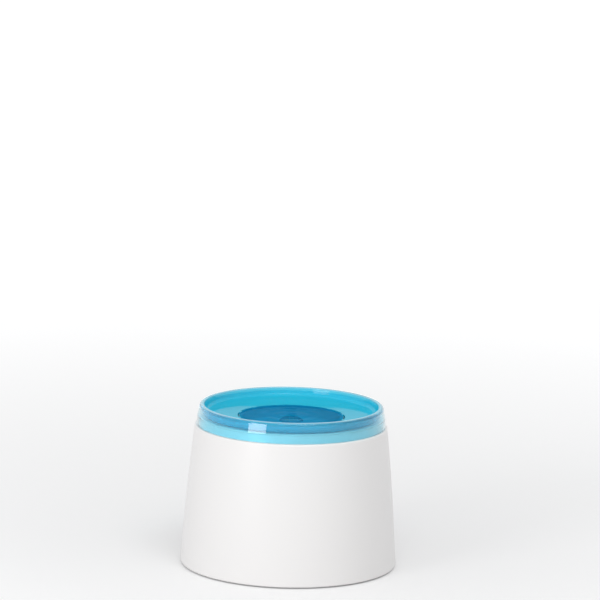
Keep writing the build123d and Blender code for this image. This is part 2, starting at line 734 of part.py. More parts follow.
# ================================================================ power socket at the back
socket_mouth = pocket_face + socket_nut_height + neck_stand_out
socket_body = block(-socket_body_width / 2, socket_body_width / 2, washer_face - socket_body_length,
                    washer_face, socket_height - socket_body_width / 2,
                    socket_height + socket_body_width / 2)
socket_body = fillet(socket_body.edges().filter_by(Axis.Y), socket_body_round)
power_socket = socket_body + along_y(Circle(socket_neck_radius), washer_face, socket_mouth, socket_height)
power_socket -= along_y(Circle(socket_bore_radius), socket_mouth - socket_bore_depth, socket_mouth,
                        socket_height)
pin_start = socket_mouth - socket_bore_depth - socket_pin_inset
power_socket -= along_y(Circle(socket_pin_radius + snug_gap), pin_start, socket_mouth, socket_height)
save("power_socket", power_socket)
socket_pin = along_y(Circle(socket_pin_radius), pin_start, socket_mouth - socket_pin_inset, socket_height)
socket_pin = fillet(socket_pin.edges().sort_by(Axis.Y)[-1], socket_pin_radius / 2)
save("socket_pin", socket_pin)
washer = Circle(socket_washer_radius) - Circle(socket_neck_radius + snug_gap)
save("socket_washer", along_y(washer, washer_face, pad_face, socket_height))
nut = RegularPolygon(socket_nut_flats / 2, 6, major_radius=False) - Circle(socket_neck_radius + snug_gap)
save("socket_nut", along_y(nut, pocket_face, pocket_face + socket_nut_height, socket_height))

# ================================================================ pump: motor block
pump_section = RectangleRounded(pump_width, pump_tall, pump_round)
pump_housing = along_y(pump_section, pump_face, pump_back, pump_middle)
pocket_start = pump_face + pump_wall + seal_section
well_end = pump_face + well_depth
well_tube = along_y(Circle(well_radius + well_wall), pump_face, well_end + well_end_wall, rotor_height)
motor_pocket = along_y(
    RectangleRounded(pump_width - 2 * pump_wall, pump_tall - 2 * pump_wall, pump_round - pump_wall),
    pocket_start, pump_back, pump_middle) - well_tube
pump_housing -= motor_pocket
pump_housing -= along_y(Circle(well_radius), pump_face, well_end, rotor_height)
pump_housing -= along_y(Circle(bush_radius + snug_gap), well_end, well_end + bush_length, rotor_height)
seal_radius = chamber_radius + seal_offset
seal_groove = Circle(seal_radius + seal_section) - Circle(seal_radius - seal_section)
pump_housing -= along_y(seal_groove, pump_face, pump_face + 2 * seal_section, rotor_height)
cup_places = [(side * cup_inset_x, y) for side in (-1, 1)
              for y in (pump_face + cup_inset_y, pump_back - cup_inset_y)]
for x, y in cup_places:
    pump_housing -= Pos(x, y, 0) * disc(cup_neck_radius + snug_gap, pump_bottom_height,
                                        pump_bottom_height + cup_stub)
save("pump_housing", pump_housing)

cup_outline = [
    Line((0, tub_floor_height + tub_wall / 2), (cup_radius - tub_wall / 2, tub_floor_height)),
    Line((cup_radius - tub_wall / 2, tub_floor_height), (cup_radius, tub_floor_height)),
    bowed((cup_radius, tub_floor_height), (cup_neck_radius, pump_bottom_height), -tub_wall / 2),
    Line((cup_neck_radius, pump_bottom_height), (cup_neck_radius, pump_bottom_height + cup_stub)),
    Line((cup_neck_radius, pump_bottom_height + cup_stub), (0, pump_bottom_height + cup_stub)),
    Line((0, pump_bottom_height + cup_stub), (0, tub_floor_height + tub_wall / 2)),
]
cup = turned(cup_outline)
save("suction_cups", *[Pos(x, y, 0) * cup for x, y in cup_places])

# ================================================================ pump: motor inside its block
core_start = pump_face + core_setback
core_end = core_start + core_length
core_bottom = rotor_height - window_half_width
coil_half_width = window_half_width - lift_gap
stator_core = block(-core_half_width, core_half_width, core_start, core_end, core_bottom, yoke_top)
stator_core -= along_y(Circle(window_half_width + core_pole_gap), core_start, core_end, rotor_height)
stator_core -= block(-window_half_width, window_half_width, core_start, core_end,
                     rotor_height, yoke_bottom)
stator_core -= block(-core_slot_width / 2, core_slot_width / 2, core_start, core_end,
                     core_bottom, rotor_height)
save("stator_core", *stator_core.solids())
stator_coil = block(-coil_half_width, coil_half_width, core_start - coil_thickness,
                    core_end + coil_thickness, yoke_bottom - coil_thickness, yoke_top + coil_thickness)
stator_coil = fillet(stator_coil.edges().filter_by(Axis.X), coil_thickness / 2)
stator_coil -= block(-coil_half_width, coil_half_width, core_start, core_end, yoke_bottom, yoke_top)
save("stator_coil", stator_coil)
potting = along_y(
    RectangleRounded(pump_width - 2 * pump_wall, pump_tall - 2 * pump_wall, pump_round - pump_wall),
    pocket_start, pump_back - potting_inset, pump_middle) - well_tube
potting = potting - stator_core - stator_coil
save("potting", potting)

# ================================================================ pump: chamber with its spigot
plate_wide = pump_width - 2 * plate_inset
plate_tall = pump_tall - 2 * plate_inset
volute = along_y(pump_section, pump_face - volute_flange, pump_face, pump_middle)
volute += along_y(Circle(chamber_radius + chamber_wall), chamber_face, pump_face, rotor_height)
volute += along_y(RectangleRounded(plate_wide, plate_tall, pump_round), chamber_face, -chamber_front,
                  pump_middle)
volute += disc(spigot_radius, rotor_height, spigot_top)
volute -= along_y(Circle(chamber_radius), -chamber_front, pump_face, rotor_height)
volute -= disc(spigot_bore_radius, rotor_height, spigot_top)
volute -= along_y(Circle(eye_radius), chamber_face, -chamber_front, rotor_height)
spider = along_y(Circle(spider_hub_radius), chamber_face - bush_length / 2, -chamber_front, rotor_height)
for i in range(spider_count):
    arm = along_y(Pos(0, eye_radius / 2) * Rectangle(spider_arm, eye_radius + spider_arm), chamber_face,
                  -chamber_front, 0)
    spider += Pos(0, 0, rotor_height) * (Rot(0, 360 * i / spider_count, 0) * arm)
volute += spider
bush_front_end = -chamber_front
bush_front_start = bush_front_end - bush_length
volute -= along_y(Circle(bush_radius + snug_gap), bush_front_start, bush_front_end, rotor_height)
save("volute", volute)
seal_middle = pump_face + seal_section
seal_ring = Rot(90, 0, 0) * Torus(seal_radius, seal_section - snug_gap)
volute_seal = Pos(0, seal_middle, rotor_height) * seal_ring
save("volute_seal", volute_seal)

# ================================================================ pump: rotor, shaft and bushes
shaft_bore = shaft_radius + running_gap
magnet_face = pump_face + magnet_start
rotor_magnet = along_y(Circle(well_radius - magnet_gap) - Circle(shaft_bore), magnet_face,
                       well_end - magnet_end_gap, rotor_height)
save("rotor_magnet", rotor_magnet)
disc_back = pump_face - impeller_disc_gap
impeller_radius = chamber_radius - impeller_gap
impeller_front = -chamber_front + impeller_front_gap
impeller = along_y(Circle(impeller_hub_radius), impeller_front, magnet_face, rotor_height)
impeller += along_y(Circle(impeller_radius), disc_back - impeller_disc, disc_back, rotor_height)
for i in range(blade_count):
    blade = along_y(Pos(0, impeller_radius / 2) * Rectangle(blade_wall, impeller_radius - blade_wall),
                    impeller_front, disc_back, 0)
    impeller += Pos(0, 0, rotor_height) * (Rot(0, 360 * i / blade_count, 0) * blade)
impeller -= along_y(Circle(shaft_bore), impeller_front, magnet_face, rotor_height)
save("impeller", impeller)
bush_back_end = well_end + bush_length
save("impeller_shaft", along_y(Circle(shaft_radius), bush_front_start, bush_back_end, rotor_height))
bush = Circle(bush_radius) - Circle(shaft_radius + snug_gap)
save("shaft_bushes", along_y(bush, bush_front_start, bush_front_end, rotor_height),
     along_y(bush, well_end, bush_back_end, rotor_height))

# ================================================================ pump: intake cover, sponge and dial
cover_back = chamber_face + intake_overlap
cover_front = cover_back - intake_length
cover_wide = plate_wide + 2 * (intake_wall + lift_gap)
cover_tall = plate_tall + 2 * (intake_wall + lift_gap)
intake_cover = along_y(RectangleRounded(cover_wide, cover_tall, pump_round + intake_wall), cover_front,
                       cover_back, pump_middle)
intake_cover = fillet(intake_cover.edges().group_by(Axis.Y)[0], intake_wall)
intake_cover -= along_y(RectangleRounded(cover_wide - 2 * intake_wall, cover_tall - 2 * intake_wall,
                                         pump_round), cover_front + intake_wall, cover_back, pump_middle)
slot_middle = (cover_front + cover_back) / 2
for i in range(intake_slot_count):
    slot_height = pump_middle + (i - (intake_slot_count - 1) / 2) * 2 * intake_slot_width
    intake_cover -= block(-cover_wide, cover_wide, slot_middle - intake_slot_length / 2,
                          slot_middle + intake_slot_length / 2, slot_height - intake_slot_width / 2,
                          slot_height + intake_slot_width / 2)


def window():
    """One fan-shaped opening, drawn on the dial's axis."""
    reach = 2 * window_outer_radius
    far = [(reach * cos(radians(a)), reach * sin(radians(a)))
           for a in (-window_degrees / 2, 0, window_degrees / 2)]
    fan = make_face(Polyline((0, 0), *far, close=True))
    return fan & (Circle(window_outer_radius) - Circle(window_inner_radius))


window_angles = [360 * i / window_count for i in range(window_count)]
for angle in window_angles:
    opening = along_y(window(), cover_front, cover_front + intake_wall, 0)
    intake_cover -= Pos(0, 0, pump_middle) * (Rot(0, angle, 0) * opening)
dial_back = cover_front - lift_gap
dial_front = dial_back - dial_wall
intake_cover += along_y(Circle(dial_pin_radius), dial_front - lift_gap, cover_front, pump_middle)
intake_cover += along_y(Circle(dial_pin_head_radius), dial_front - lift_gap - dial_pin_head,
                        dial_front - lift_gap, pump_middle)
save("intake_cover", intake_cover)

flow_dial = along_y(Circle(dial_radius) - Circle(dial_pin_radius + running_gap), dial_front, dial_back,
                    pump_middle)
for angle in window_angles:
    opening = along_y(window(), dial_front, dial_back, 0)
    flow_dial -= Pos(0, 0, pump_middle) * (Rot(0, angle, 0) * opening)
knob = along_y(Pos(0, (window_outer_radius + dial_radius) / 2) * Rectangle(dial_knob_wall, dial_knob_wall),
               dial_front - dial_knob_height, dial_front, 0)
flow_dial += Pos(0, 0, pump_middle) * (Rot(0, 90 + 180 / window_count, 0) * knob)
save("flow_dial", flow_dial)

prefilter_sponge = along_y(
    RectangleRounded(cover_wide - 2 * intake_wall - 2 * sponge_gap,
                     cover_tall - 2 * intake_wall - 2 * sponge_gap, pump_round - sponge_gap),
    cover_front + intake_wall + sponge_gap, chamber_face - bush_length / 2 - sponge_gap, pump_middle)
save("prefilter_sponge", prefilter_sponge)

# ================================================================ pump lead and grommet
lead_path = Plane.YZ * FilletPolyline(*lead_points, radius=lead_radii)
lead_start = Plane(origin=lead_path @ 0, z_dir=lead_path % 0)
pump_lead = sweep(lead_start * Circle(lead_radius), lead_path)
save("pump_lead", pump_lead)

wall_inside = tub_inner_radius(lead_hump_height) - lift_gap
wall_outside = tub_inner_radius(lead_hump_height) + tub_wall + lift_gap
lead_grommet = along_y(Circle(grommet_radius), wall_inside, wall_outside, lead_hump_height)
lead_grommet += along_y(Circle(grommet_flange_radius), wall_inside - grommet_flange, wall_inside,
                        lead_hump_height)
lead_grommet += along_y(Circle(grommet_flange_radius), wall_outside, wall_outside + grommet_flange,
                        lead_hump_height)
lead_grommet -= along_y(Circle(lead_radius + snug_gap), wall_inside - grommet_flange,
                        wall_outside + grommet_flange, lead_hump_height)
save("lead_grommet", lead_grommet)
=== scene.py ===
"""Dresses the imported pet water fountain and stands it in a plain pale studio.

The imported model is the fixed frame. Its rigid nodes keep their shapes and get their finishes here.
The filter's soft layers and the intake sponge are made here in place of their plain solids, and the
pool gets its water. Lengths are in metres, +Z is up and the front faces -Y.
"""
import logging
import math
from collections.abc import Mapping, Sequence
from dataclasses import dataclass
from enum import Enum
from typing import Any, ClassVar, Protocol

import bpy
from mathutils import Matrix, Vector, noise


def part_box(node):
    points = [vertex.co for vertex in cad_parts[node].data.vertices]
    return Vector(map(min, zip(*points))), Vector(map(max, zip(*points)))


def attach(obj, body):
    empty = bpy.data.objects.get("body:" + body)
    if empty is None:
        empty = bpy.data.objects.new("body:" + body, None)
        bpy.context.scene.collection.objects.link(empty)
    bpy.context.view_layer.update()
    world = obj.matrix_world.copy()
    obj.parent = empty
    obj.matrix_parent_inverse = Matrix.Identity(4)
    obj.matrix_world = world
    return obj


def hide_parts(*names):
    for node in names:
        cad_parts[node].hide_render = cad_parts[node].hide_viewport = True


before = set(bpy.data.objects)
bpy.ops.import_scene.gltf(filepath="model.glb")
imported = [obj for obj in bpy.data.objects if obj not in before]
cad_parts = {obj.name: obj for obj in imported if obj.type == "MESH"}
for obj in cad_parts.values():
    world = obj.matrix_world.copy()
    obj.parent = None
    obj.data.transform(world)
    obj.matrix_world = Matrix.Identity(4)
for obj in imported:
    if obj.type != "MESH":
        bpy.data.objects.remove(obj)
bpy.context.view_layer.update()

MM = 0.001
FULL_TURN = 2 * math.pi
NEARLY_NOUGHT = 1e-9
LOG = logging.getLogger("fountain")

# The Mix node's sockets for colours go by number, since they share their names with its other sockets.
MIX_FACTOR, MIX_LOW, MIX_HIGH, MIX_RESULT = 0, 6, 7, 2

Colour = tuple[float, float, float, float]
Point = tuple[float, float, float]
Stops = Sequence[tuple[float, Colour]]
Levels = tuple[tuple[float, float], ...]

WHITE: Colour = (1.0, 1.0, 1.0, 1.0)


def shaded(colour: Colour, factor: float) -> Colour:
    """A colour made lighter or darker.

    Args:
        colour: the colour to start from.
        factor: what its three channels are multiplied by.

    Returns:
        The new colour, fully opaque.
    """
    return (colour[0] * factor, colour[1] * factor, colour[2] * factor, 1.0)


def shades(colour: Colour, levels: Levels) -> Stops:
    """Stops of a ramp that shows one colour at several levels.

    Args:
        colour: the colour at level 1.
        levels: places along the ramp, each with its level.

    Returns:
        The ramp's stops.
    """
    return [(place, shaded(colour, level)) for place, level in levels]


# -------------------- shader graphs
class Socket:
    """A value in a finish's graph that takes sums as a plain number does."""

    def __init__(self, graph: "Graph", source: bpy.types.NodeSocket) -> None:
        """Keep the graph and the output that gives the value."""
        self.graph = graph
        self.source = source

    def _math(self, operation: str, first: "Value", second: "Value") -> "Socket":
        """Add one Math node for a sum of two values."""
        return self.graph.node("ShaderNodeMath", {"operation": operation}, {0: first, 1: second})

    def __add__(self, other: "Value") -> "Socket":
        """Add two values."""
        return self._math("ADD", self, other)

    def __radd__(self, other: "Value") -> "Socket":
        """Add to a plain number."""
        return self._math("ADD", other, self)

    def __sub__(self, other: "Value") -> "Socket":
        """Take a value away."""
        return self._math("SUBTRACT", self, other)

    def __rsub__(self, other: "Value") -> "Socket":
        """Take away from a plain number."""
        return self._math("SUBTRACT", other, self)

    def __mul__(self, other: "Value") -> "Socket":
        """Multiply two values."""
        return self._math("MULTIPLY", self, other)

    def __rmul__(self, other: "Value") -> "Socket":
        """Multiply a plain number."""
        return self._math("MULTIPLY", other, self)

    def __truediv__(self, other: "Value") -> "Socket":
        """Divide by a value."""
        return self._math("DIVIDE", self, other)

    def __rtruediv__(self, other: "Value") -> "Socket":
        """Divide a plain number."""
        return self._math("DIVIDE", other, self)

    def at_least(self, other: "Value") -> "Socket":
        """The larger of two values."""
        return self._math("MAXIMUM", self, other)

    def above(self, other: "Value") -> "Socket":
        """One where this value is larger than the other, or else nought."""
        return self._math("GREATER_THAN", self, other)


Value = Socket | float | int | Sequence[float]


class Graph:
    """The node graph of one finish, or of the surroundings."""

    def __init__(self, owner: bpy.types.Material | bpy.types.World) -> None:
        """Start with an empty graph.

        Args:
            owner: the material or world that the graph belongs to.
        """
        self.owner = owner
        owner.use_nodes = True
        self.tree = owner.node_tree
        self.tree.nodes.clear()

    @classmethod
    def named(cls, name: str) -> "Graph":
        """The empty graph of a new material."""
        return cls(bpy.data.materials.new(name))

    def node(self, kind: str, settings: Mapping[str, Any] | None = None,
             sockets: Mapping[str | int, Any] | None = None, output: str | int | None = 0) -> Socket | None:
        """Add one node.

        Args:
            kind: Blender's name of the node type.
            settings: properties set first; "stops" gives a colour ramp's places and colours.
            sockets: value or link of each input, by name or number.
            output: which output the result stands for, or None for a node without one.

        Returns:
            The chosen output, if any.
        """
        made = self.tree.nodes.new(kind)
        for key, value in (settings or {}).items():
            if key == "stops":
                self._fill_ramp(made.color_ramp, value)
            else:
                setattr(made, key, value)
        for key, value in (sockets or {}).items():
            if isinstance(value, Socket):
                self.tree.links.new(value.source, made.inputs[key])
            else:
                made.inputs[key].default_value = value
        return None if output is None else Socket(self, made.outputs[output])

    @staticmethod
    def _fill_ramp(ramp: bpy.types.ColorRamp, stops: Stops) -> None:
        """Give a colour ramp its stops.

        Args:
            ramp: the ramp, new and with its first two stops.
            stops: the places and colours, at least two.
        """
        while len(ramp.elements) < len(stops):
            ramp.elements.new(1.0)
        for element, (place, colour) in zip(ramp.elements, stops):
            element.position = place
            element.color = colour

    def place(self) -> Socket:
        """Where on the object the shaded point lies, in metres."""
        return self.node("ShaderNodeTexCoord", output="Object")

    def scaled(self, factors: Point) -> Socket:
        """That place with each coordinate multiplied by a factor; a larger one gives a finer texture."""
        return self.node("ShaderNodeMapping", sockets={"Vector": self.place(), "Scale": factors})

    def along(self, axis: str) -> Socket:
        """One coordinate of that place, X, Y or Z."""
        return self.node("ShaderNodeSeparateXYZ", sockets={"Vector": self.place()}, output=axis)

    def length(self, vector: Socket) -> Socket:
        """Length of a vector."""
        return self.node("ShaderNodeVectorMath", {"operation": "LENGTH"}, {0: vector}, "Value")

    def away(self) -> Socket:
        """Distance of the shaded point from the Z axis, in metres."""
        return self.length(self.scaled((1.0, 1.0, 0.0)))

    def clouds(self, size: float, detail: float = 2.0, place: Socket | None = None) -> Socket:
        """Soft noise from 0 to 1.

        Args:
            size: width of one cloud in metres.
            detail: how many finer layers it has.
            place: coordinates other than the plain place on the object.

        Returns:
            The noise's factor.
        """
        inputs = {"Vector": place or self.place(), "Scale": 1 / size, "Detail": detail}
        return self.node("ShaderNodeTexNoise", sockets=inputs)

    def cells(self, size: float) -> Socket:
        """Distance to the middle of the nearest cell of a given size, from 0 to about 1."""
        inputs = {"Vector": self.place(), "Scale": 1 / size}
        return self.node("ShaderNodeTexVoronoi", {"feature": "F1"}, inputs, "Distance")

    def ramp(self, factor: Value, stops: Stops) -> Socket:
        """Colours picked along a ramp by a factor."""
        return self.node("ShaderNodeValToRGB", {"stops": stops}, {"Fac": factor}, "Color")

    def blend(self, factor: Value, low: Value, high: Value) -> Socket:
        """Mix of two colours, low where the factor is 0."""
        inputs = {MIX_FACTOR: factor, MIX_LOW: low, MIX_HIGH: high}
        return self.node("ShaderNodeMix", {"data_type": "RGBA"}, inputs, MIX_RESULT)

    def bump(self, height: Value, depth: float, strength: float = 1.0) -> Socket:
        """A normal bent by a height from 0 to 1 that stands for a real depth in metres."""
        inputs = {"Strength": strength, "Distance": depth, "Height": height}
        return self.node("ShaderNodeBump", sockets=inputs, output="Normal")

    def principled(self, sockets: Mapping[str, Any]) -> Socket:
        """The main shader with the given sockets."""
        return self.node("ShaderNodeBsdfPrincipled", sockets=sockets)

    def see_through(self, colour: Colour) -> Socket:
        """A shader that lets light straight through, tinted by a colour."""
        return self.node("ShaderNodeBsdfTransparent", sockets={"Color": colour})

    def mixed(self, factor: Value, first: Socket, second: Socket) -> Socket:
        """Mix of two shaders, the first where the factor is 0."""
        return self.node("ShaderNodeMixShader", sockets={0: factor, 1: first, 2: second})

    def light_path(self, name: str) -> Socket:
        """One for rays of a kind, such as "Is Camera Ray", or else nought."""
        return self.node("ShaderNodeLightPath", output=name)

    def seen(self) -> Socket:
        """One for rays that show the surface, straight or in a mirror or through glass.

        Returns:
            The mask.
        """
        straight, mirrored = self.light_path("Is Camera Ray"), self.light_path("Is Glossy Ray")
        return straight.at_least(mirrored).at_least(self.light_path("Is Transmission Ray"))

    def output(self, shader: Socket) -> bpy.types.Material | bpy.types.World:
        """Join a shader to the output.

        Args:
            shader: the surface's shader.

        Returns:
            The finished material or world.
        """
        kind = "World" if isinstance(self.owner, bpy.types.World) else "Material"
        self.node("ShaderNodeOutput" + kind, sockets={"Surface": shader}, output=None)
        return self.owner


# -------------------- finishes
class Finish(Protocol):
    """A named recipe that builds its own material."""

    @property
    def name(self) -> str:
        """The material's name."""

    def material(self) -> bpy.types.Material:
        """Build the finish."""


@dataclass(frozen=True)
class MouldedPlastic:
    """Opaque moulded plastic with a mould's texture.

    Attributes:
        name: the material's name.
        colour: its colour.
        roughness: of the clean surface.
        grain: width of the texture's grain.
        grain_depth: depth of that grain.
        unevenness: how much the gloss wanders over the surface.
        shift: how much darker the colour gets in its slow drift.
        drift: width of one patch of that drift.
        smear: width of one smear in the gloss.
        smear_rise: the smears are drawn out upwards; the smaller, the taller.
    """

    name: str
    colour: Colour
    roughness: float = 0.35
    grain: float = 0.7 * MM
    grain_depth: float = 0.006 * MM
    unevenness: float = 0.08
    shift: float = 0.02
    drift: float = 45 * MM
    smear: float = 9 * MM
    smear_rise: float = 0.35

    def material(self) -> bpy.types.Material:
        """Build the finish.

        Returns:
            The material.
        """
        graph = Graph.named(self.name)
        drift = graph.clouds(self.drift, detail=3.0)
        grain = graph.clouds(self.grain, detail=3.0)
        smear = graph.clouds(self.smear, detail=4.0, place=graph.scaled((1.0, 1.0, self.smear_rise)))
        return graph.output(graph.principled({
            "Base Color": graph.blend(drift, shaded(self.colour, 1 - self.shift), self.colour),
            "Roughness": self.roughness + (smear - 0.5) * self.unevenness,
            "IOR": 1.5,
            "Normal": graph.bump(grain, self.grain_depth),
        }))


@dataclass(frozen=True)
class CoverZones:
    """Parts of the drinking cover with a look of their own: the thin skirt, and a painted highlight along
    the rim's crest.

    Attributes:
        skirt_radius: the skirt lies outside this distance from the middle.
        skirt_tint: share of each colour that passes its wall.
        skirt_body: share of the light that it scatters.
        skirt_gloss: weight of the polish over it.
        rim_highlight_foot: height where the painted highlight along the rim's crest begins.
        rim_highlight_height: from there up to the crest.
        rim_highlight_share: share of the light scattered there in the painted highlight's pale colour.
        rim_highlight_colour: that pale colour, which paints a highlight along the rim.
    """

    skirt_radius: float = 86.6 * MM
    skirt_tint: Colour = (0.5, 0.84, 0.93, 1.0)
    skirt_body: float = 0.04
    skirt_gloss: float = 1.0
    rim_highlight_foot: float = 155.9 * MM
    rim_highlight_height: float = 1.4 * MM
    rim_highlight_share: float = 0.6
    rim_highlight_colour: Colour = (0.42, 0.8, 0.93, 1.0)

    def skirt(self, graph: Graph) -> Socket:
        """One on the skirt and nought on the dish."""
        return graph.away().above(self.skirt_radius)

    def rim_highlight(self, graph: Graph) -> Socket:
        """Mask of the painted highlight: nought below the rim's crest band, rising to one at the crest."""
        return ((graph.along("Z") - self.rim_highlight_foot) / self.rim_highlight_height).at_least(0.0)


@dataclass(frozen=True)
class ClearPlastic:
    """Clear tinted plastic, polished, that lets lamp light through.

    Attributes:
        name: the material's name.
        tint: share of each colour that passes one wall.
        roughness: of the polished surface.
        body: share of the light that the plastic scatters in its own colour.
        milk: colour of that share.
        milk_roughness: roughness of that share's surface.
        gloss: weight of the polish over it.
        polish_index: refractive index of that polish; a lower one mirrors less straight on.
        polish_roughness: roughness of that polish.
        shade: share of each colour of lamp light that passes one face, where it isn't the tint.
        smear: width of one greasy smear.
        smear_start: level of the noise above which a smear shows.
        smear_gain: how much rougher the surface gets from there on.
        flow: width of one wave of the moulded surface.
        flow_depth: depth of those waves.
        flow_strength: how far they bend the reflections.
        zones: where the drinking cover differs from the rest of itself, among them a painted highlight along
            its rim.
    """

    name: str
    tint: Colour
    roughness: float = 0.03
    body: float = 0.2
    milk: Colour = (0.2, 0.62, 0.8, 1.0)
    milk_roughness: float = 0.12
    gloss: float = 1.0
    polish_index: float = 1.5
    polish_roughness: float = 0.02
    shade: Colour | None = None
    smear: float = 7 * MM
    smear_start: float = 0.45
    smear_gain: float = 0.12
    flow: float = 22 * MM
    flow_depth: float = 0.02 * MM
    flow_strength: float = 0.5
    zones: CoverZones | None = None

    def material(self) -> bpy.types.Material:
        """Build the finish.

        Returns:
            The material.
        """
        graph = Graph.named(self.name)
        smear = (graph.clouds(self.smear, detail=4.0) - self.smear_start).at_least(0.0)
        flow = graph.clouds(self.flow, detail=1.0)
        tint, milk, body, gloss = self.tint, self.milk, self.body, self.gloss
        if self.zones:
            skirt, rim_highlight = self.zones.skirt(graph), self.zones.rim_highlight(graph)
            tint = graph.blend(skirt, self.tint, self.zones.skirt_tint)
            # The rim's crest gets a paler, more milky colour here: a painted highlight.
            milk = graph.blend(rim_highlight, self.milk, self.zones.rim_highlight_colour)
            plain_body = self.body - skirt * (self.body - self.zones.skirt_body)
            body = (rim_highlight * self.zones.rim_highlight_share).at_least(plain_body)
            gloss = self.gloss + skirt * (self.zones.skirt_gloss - self.gloss)
        sheen = {
            "IOR": 1.49,
            "Specular IOR Level": 0.0,
            "Coat Weight": gloss,
            "Coat IOR": self.polish_index,
            "Coat Roughness": self.polish_roughness,
            "Normal": graph.bump(flow, self.flow_depth, self.flow_strength),
        }
        glassy = graph.principled(sheen | {
            "Base Color": tint,
            "Roughness": self.roughness + smear * self.smear_gain,
            "Transmission Weight": 1.0,
        })
        milky = graph.principled(sheen | {"Base Color": milk, "Roughness": self.milk_roughness})
        wall = graph.mixed(body, glassy, milky)
        for_lamps = graph.see_through(self.shade or self.tint)
        return graph.output(graph.mixed(graph.light_path("Is Shadow Ray"), wall, for_lamps))


@dataclass(frozen=True)
class Elastomer:
    """Rubber, silicone or cable sheath.

    Attributes:
        name: the material's name.
        colour: its colour.
        roughness: of the clean surface.
        bloom: how far dust and bloom pale it.
        see_through: share of light that passes it.
        dust: width of one patch of dust.
        dust_roughness: how much the roughness wanders with the dust.
        grain: width of the surface's grain.
        grain_depth: depth of that grain.
    """

    name: str
    colour: Colour
    roughness: float = 0.6
    bloom: float = 0.25
    see_through: float = 0.0
    dust: float = 3 * MM
    dust_roughness: float = 0.2
    grain: float = 0.4 * MM
    grain_depth: float = 0.02 * MM

    def material(self) -> bpy.types.Material:
        """Build the finish.

        Returns:
            The material.
        """
        graph = Graph.named(self.name)
        dust = graph.clouds(self.dust, detail=5.0)
        grain = graph.clouds(self.grain, detail=3.0)
        return graph.output(graph.principled({
            "Base Color": graph.blend(dust, self.colour, shaded(self.colour, 1 + self.bloom)),
            "Roughness": self.roughness + (dust - 0.5) * self.dust_roughness,
            "IOR": 1.45,
            "Transmission Weight": self.see_through,
            "Normal": graph.bump(grain, self.grain_depth),
        }))


class Grain(Enum):
    """How a hard surface was finished: width of its lines, and how much finer they are along X, Y and Z."""

    BRUSHED = (0.5 * MM, (1.0, 1.0, 12.0))
    GROUND = (0.5 * MM, (3.0, 3.0, 3.0))
    STACKED = (0.9 * MM, (0.05, 1.0, 0.05))

    def lines(self, graph: Graph) -> Socket:
        """Noise drawn out into the lines of this finish."""
        width, factors = self.value
        return graph.clouds(width, detail=3.0, place=graph.scaled(factors))


@dataclass(frozen=True)
class HardSurface:
    """Metal, ferrite or ceramic.

    Attributes:
        name: the material's name.
        colour: its colour.
        metallic: 1 for metal, 0 for ceramic.
        roughness: of the finished surface.
        grain: how it was finished.
        line_roughness: how much the roughness wanders with the lines.
        line_depth: depth of the lines.
        stain: width of one stain.
        stain_level: level of the colour in a stain.
    """

    name: str
    colour: Colour
    metallic: float
    roughness: float
    grain: Grain = Grain.GROUND
    line_roughness: float = 0.25
    line_depth: float = 0.02 * MM
    stain: float = 6 * MM
    stain_level: float = 0.82

    def material(self) -> bpy.types.Material:
        """Build the finish.

        Returns:
            The material.
        """
        graph = Graph.named(self.name)
        lines = self.grain.lines(graph)
        stain = graph.clouds(self.stain, detail=3.0)
        return graph.output(graph.principled({
            "Base Color": graph.blend(stain, shaded(self.colour, self.stain_level), self.colour),
            "Metallic": self.metallic,
            "Roughness": self.roughness + (lines - 0.5) * self.line_roughness,
            "Normal": graph.bump(lines, self.line_depth),
        }))


@dataclass(frozen=True)
class CopperWinding:
    """Turns of enamelled wire side by side, wound round the X axis.

    Attributes:
        name: the material's name.
        colour: of the enamelled copper.
        wire: thickness of one turn.
        wire_depth: depth of the groove between two turns.
        patch: width of one patch of darker enamel.
        patch_level: level of the colour there.
        patch_roughness: how much rougher the enamel gets between the patches.
    """

    name: str
    colour: Colour
    wire: float = 0.35 * MM
    wire_depth: float = 0.12 * MM
    patch: float = 2 * MM
    patch_level: float = 0.7
    patch_roughness: float = 0.15

    def material(self) -> bpy.types.Material:
        """Build the finish.

        Returns:
            The material.
        """
        graph = Graph.named(self.name)
        from_groove = graph.node("ShaderNodeMath", {"operation": "PINGPONG"},
                                 {0: graph.along("X"), 1: self.wire / 2})
        patches = graph.clouds(self.patch)
        return graph.output(graph.principled({
            "Base Color": graph.blend(patches, shaded(self.colour, self.patch_level), self.colour),
            "Metallic": 0.8,
            "Roughness": 0.3 + patches * self.patch_roughness,
            "Normal": graph.bump(from_groove * (2 / self.wire), self.wire_depth),
        }))


@dataclass(frozen=True)
class OpenFoam:
    """Open-celled foam or sponge, with painted shade darkening its pores towards their middles.

    Attributes:
        name: the material's name.
        colour: of the foam's struts.
        cell: width of one cell.
        depth: how deep the cells look.
        wander: how much that painted shade varies from cell to cell.
        wander_cells: width of one patch where the painted shade is deeper or lighter, in cells.
        small_cell: width of the small cells, in cells.
        small_share: how much the small cells count.
        levels: levels of the colour from the middle of a pore out to its struts; the darker middles are
            painted shade.
    """

    name: str
    colour: Colour
    cell: float
    depth: float
    wander: float = 0.6
    wander_cells: float = 3.0
    small_cell: float = 0.45
    small_share: float = 0.4
    levels: Levels = ((0.12, 0.28), (0.45, 0.8), (0.85, 1.0))

    def material(self) -> bpy.types.Material:
        """Build the finish.

        Returns:
            The material.
        """
        graph = Graph.named(self.name)
        patches = graph.clouds(self.cell * self.wander_cells)
        pores = graph.cells(self.cell) * (1 - self.wander / 2 + patches * self.wander)
        struts = pores + graph.cells(self.cell * self.small_cell) * self.small_share
        return graph.output(graph.principled({
            # Pores darkened towards their middles: painted shade.
            "Base Color": graph.ramp(struts, shades(self.colour, self.levels)),
            "Roughness": 0.92,
            "Sheen Weight": 0.15,
            "Normal": graph.bump(struts, self.depth),
        }))


